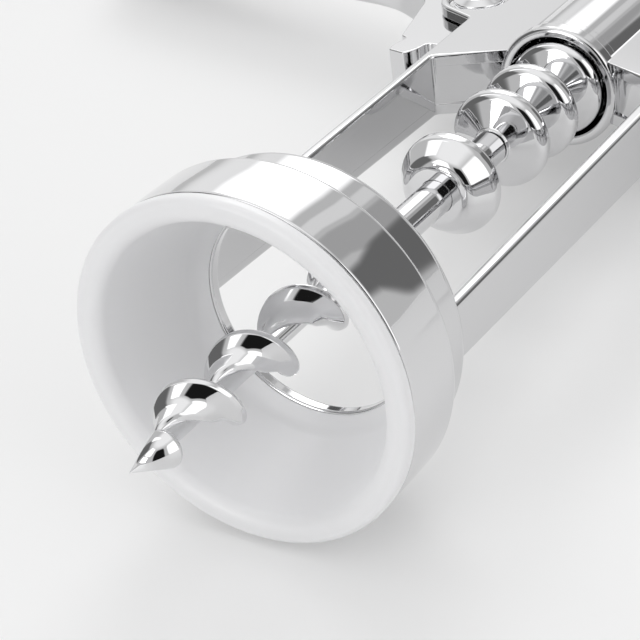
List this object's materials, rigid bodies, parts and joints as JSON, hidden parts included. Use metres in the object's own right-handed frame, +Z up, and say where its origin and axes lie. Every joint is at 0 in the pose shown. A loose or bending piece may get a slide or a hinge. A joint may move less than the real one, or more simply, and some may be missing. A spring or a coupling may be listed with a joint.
{
  "type": "lever corkscrew",
  "caption": "Lever corkscrew: a lined bell and strap frame guide a ringed spindle with a helical worm, lifted by geared arms, with a cap-lifting turn handle.",
  "frame": {"origin": "bottom centre of the bounding box, with the tool lying on its bell and its handle as on a table", "axes": "+Z up from the table, +Y from the bell to the handle along the table, +X to the right across the levers; the tool's own axis drops by 5.68 degrees towards the handle"},
  "size_m": [0.1992, 0.1938, 0.0407],
  "materials": {
    "frame_chrome": "polished",
    "bell_chrome": "polished",
    "liner_white": "satin white",
    "spindle_chrome": "polished",
    "rivet_chrome": "polished",
    "handle_chrome": "polished",
    "lever_chrome": "polished"
  },
  "bodies": {
    "frame": {"frame": "frame_chrome", "bell_ring": "bell_chrome", "bell_liner": "liner_white", "left_pivot_pin": "rivet_chrome", "right_pivot_pin": "rivet_chrome"},
    "rack": {"rack_sleeve": "spindle_chrome"},
    "screw": {"worm": "spindle_chrome", "stop_collar": "spindle_chrome", "handle": "handle_chrome", "cross_pin": "rivet_chrome"},
    "left_lever": {"left_lever": "lever_chrome"},
    "right_lever": {"right_lever": "lever_chrome"}
  },
  "joints": [
    {"name": "rack_slide", "type": "slide", "parent": "frame", "child": "rack", "axis": [0, 0.9951, -0.099], "range_m": [-0.01361, 0.02618]},
    {"name": "screw_turn", "type": "hinge", "parent": "rack", "child": "screw", "pos_m": [0, 0.01108, 0.01188], "axis": [0, 0.9951, -0.099], "continuous": true},
    {"name": "left_lever_swing", "type": "hinge", "parent": "frame", "child": "left_lever", "pos_m": [-0.01915, 0.01108, 0.01188], "axis": [0, 0.099, 0.9951], "range_deg": [-52.1, 100.1]},
    {"name": "right_lever_swing", "type": "hinge", "parent": "frame", "child": "right_lever", "pos_m": [0.01915, 0.01108, 0.01188], "axis": [0, 0.099, 0.9951], "range_deg": [-100.1, 52.1]}
  ],
  "couplings": [
    {"joint": "left_lever_swing", "follows": "rack_slide", "rad_per_m": 66.667},
    {"joint": "right_lever_swing", "follows": "rack_slide", "rad_per_m": -66.667}
  ]
}
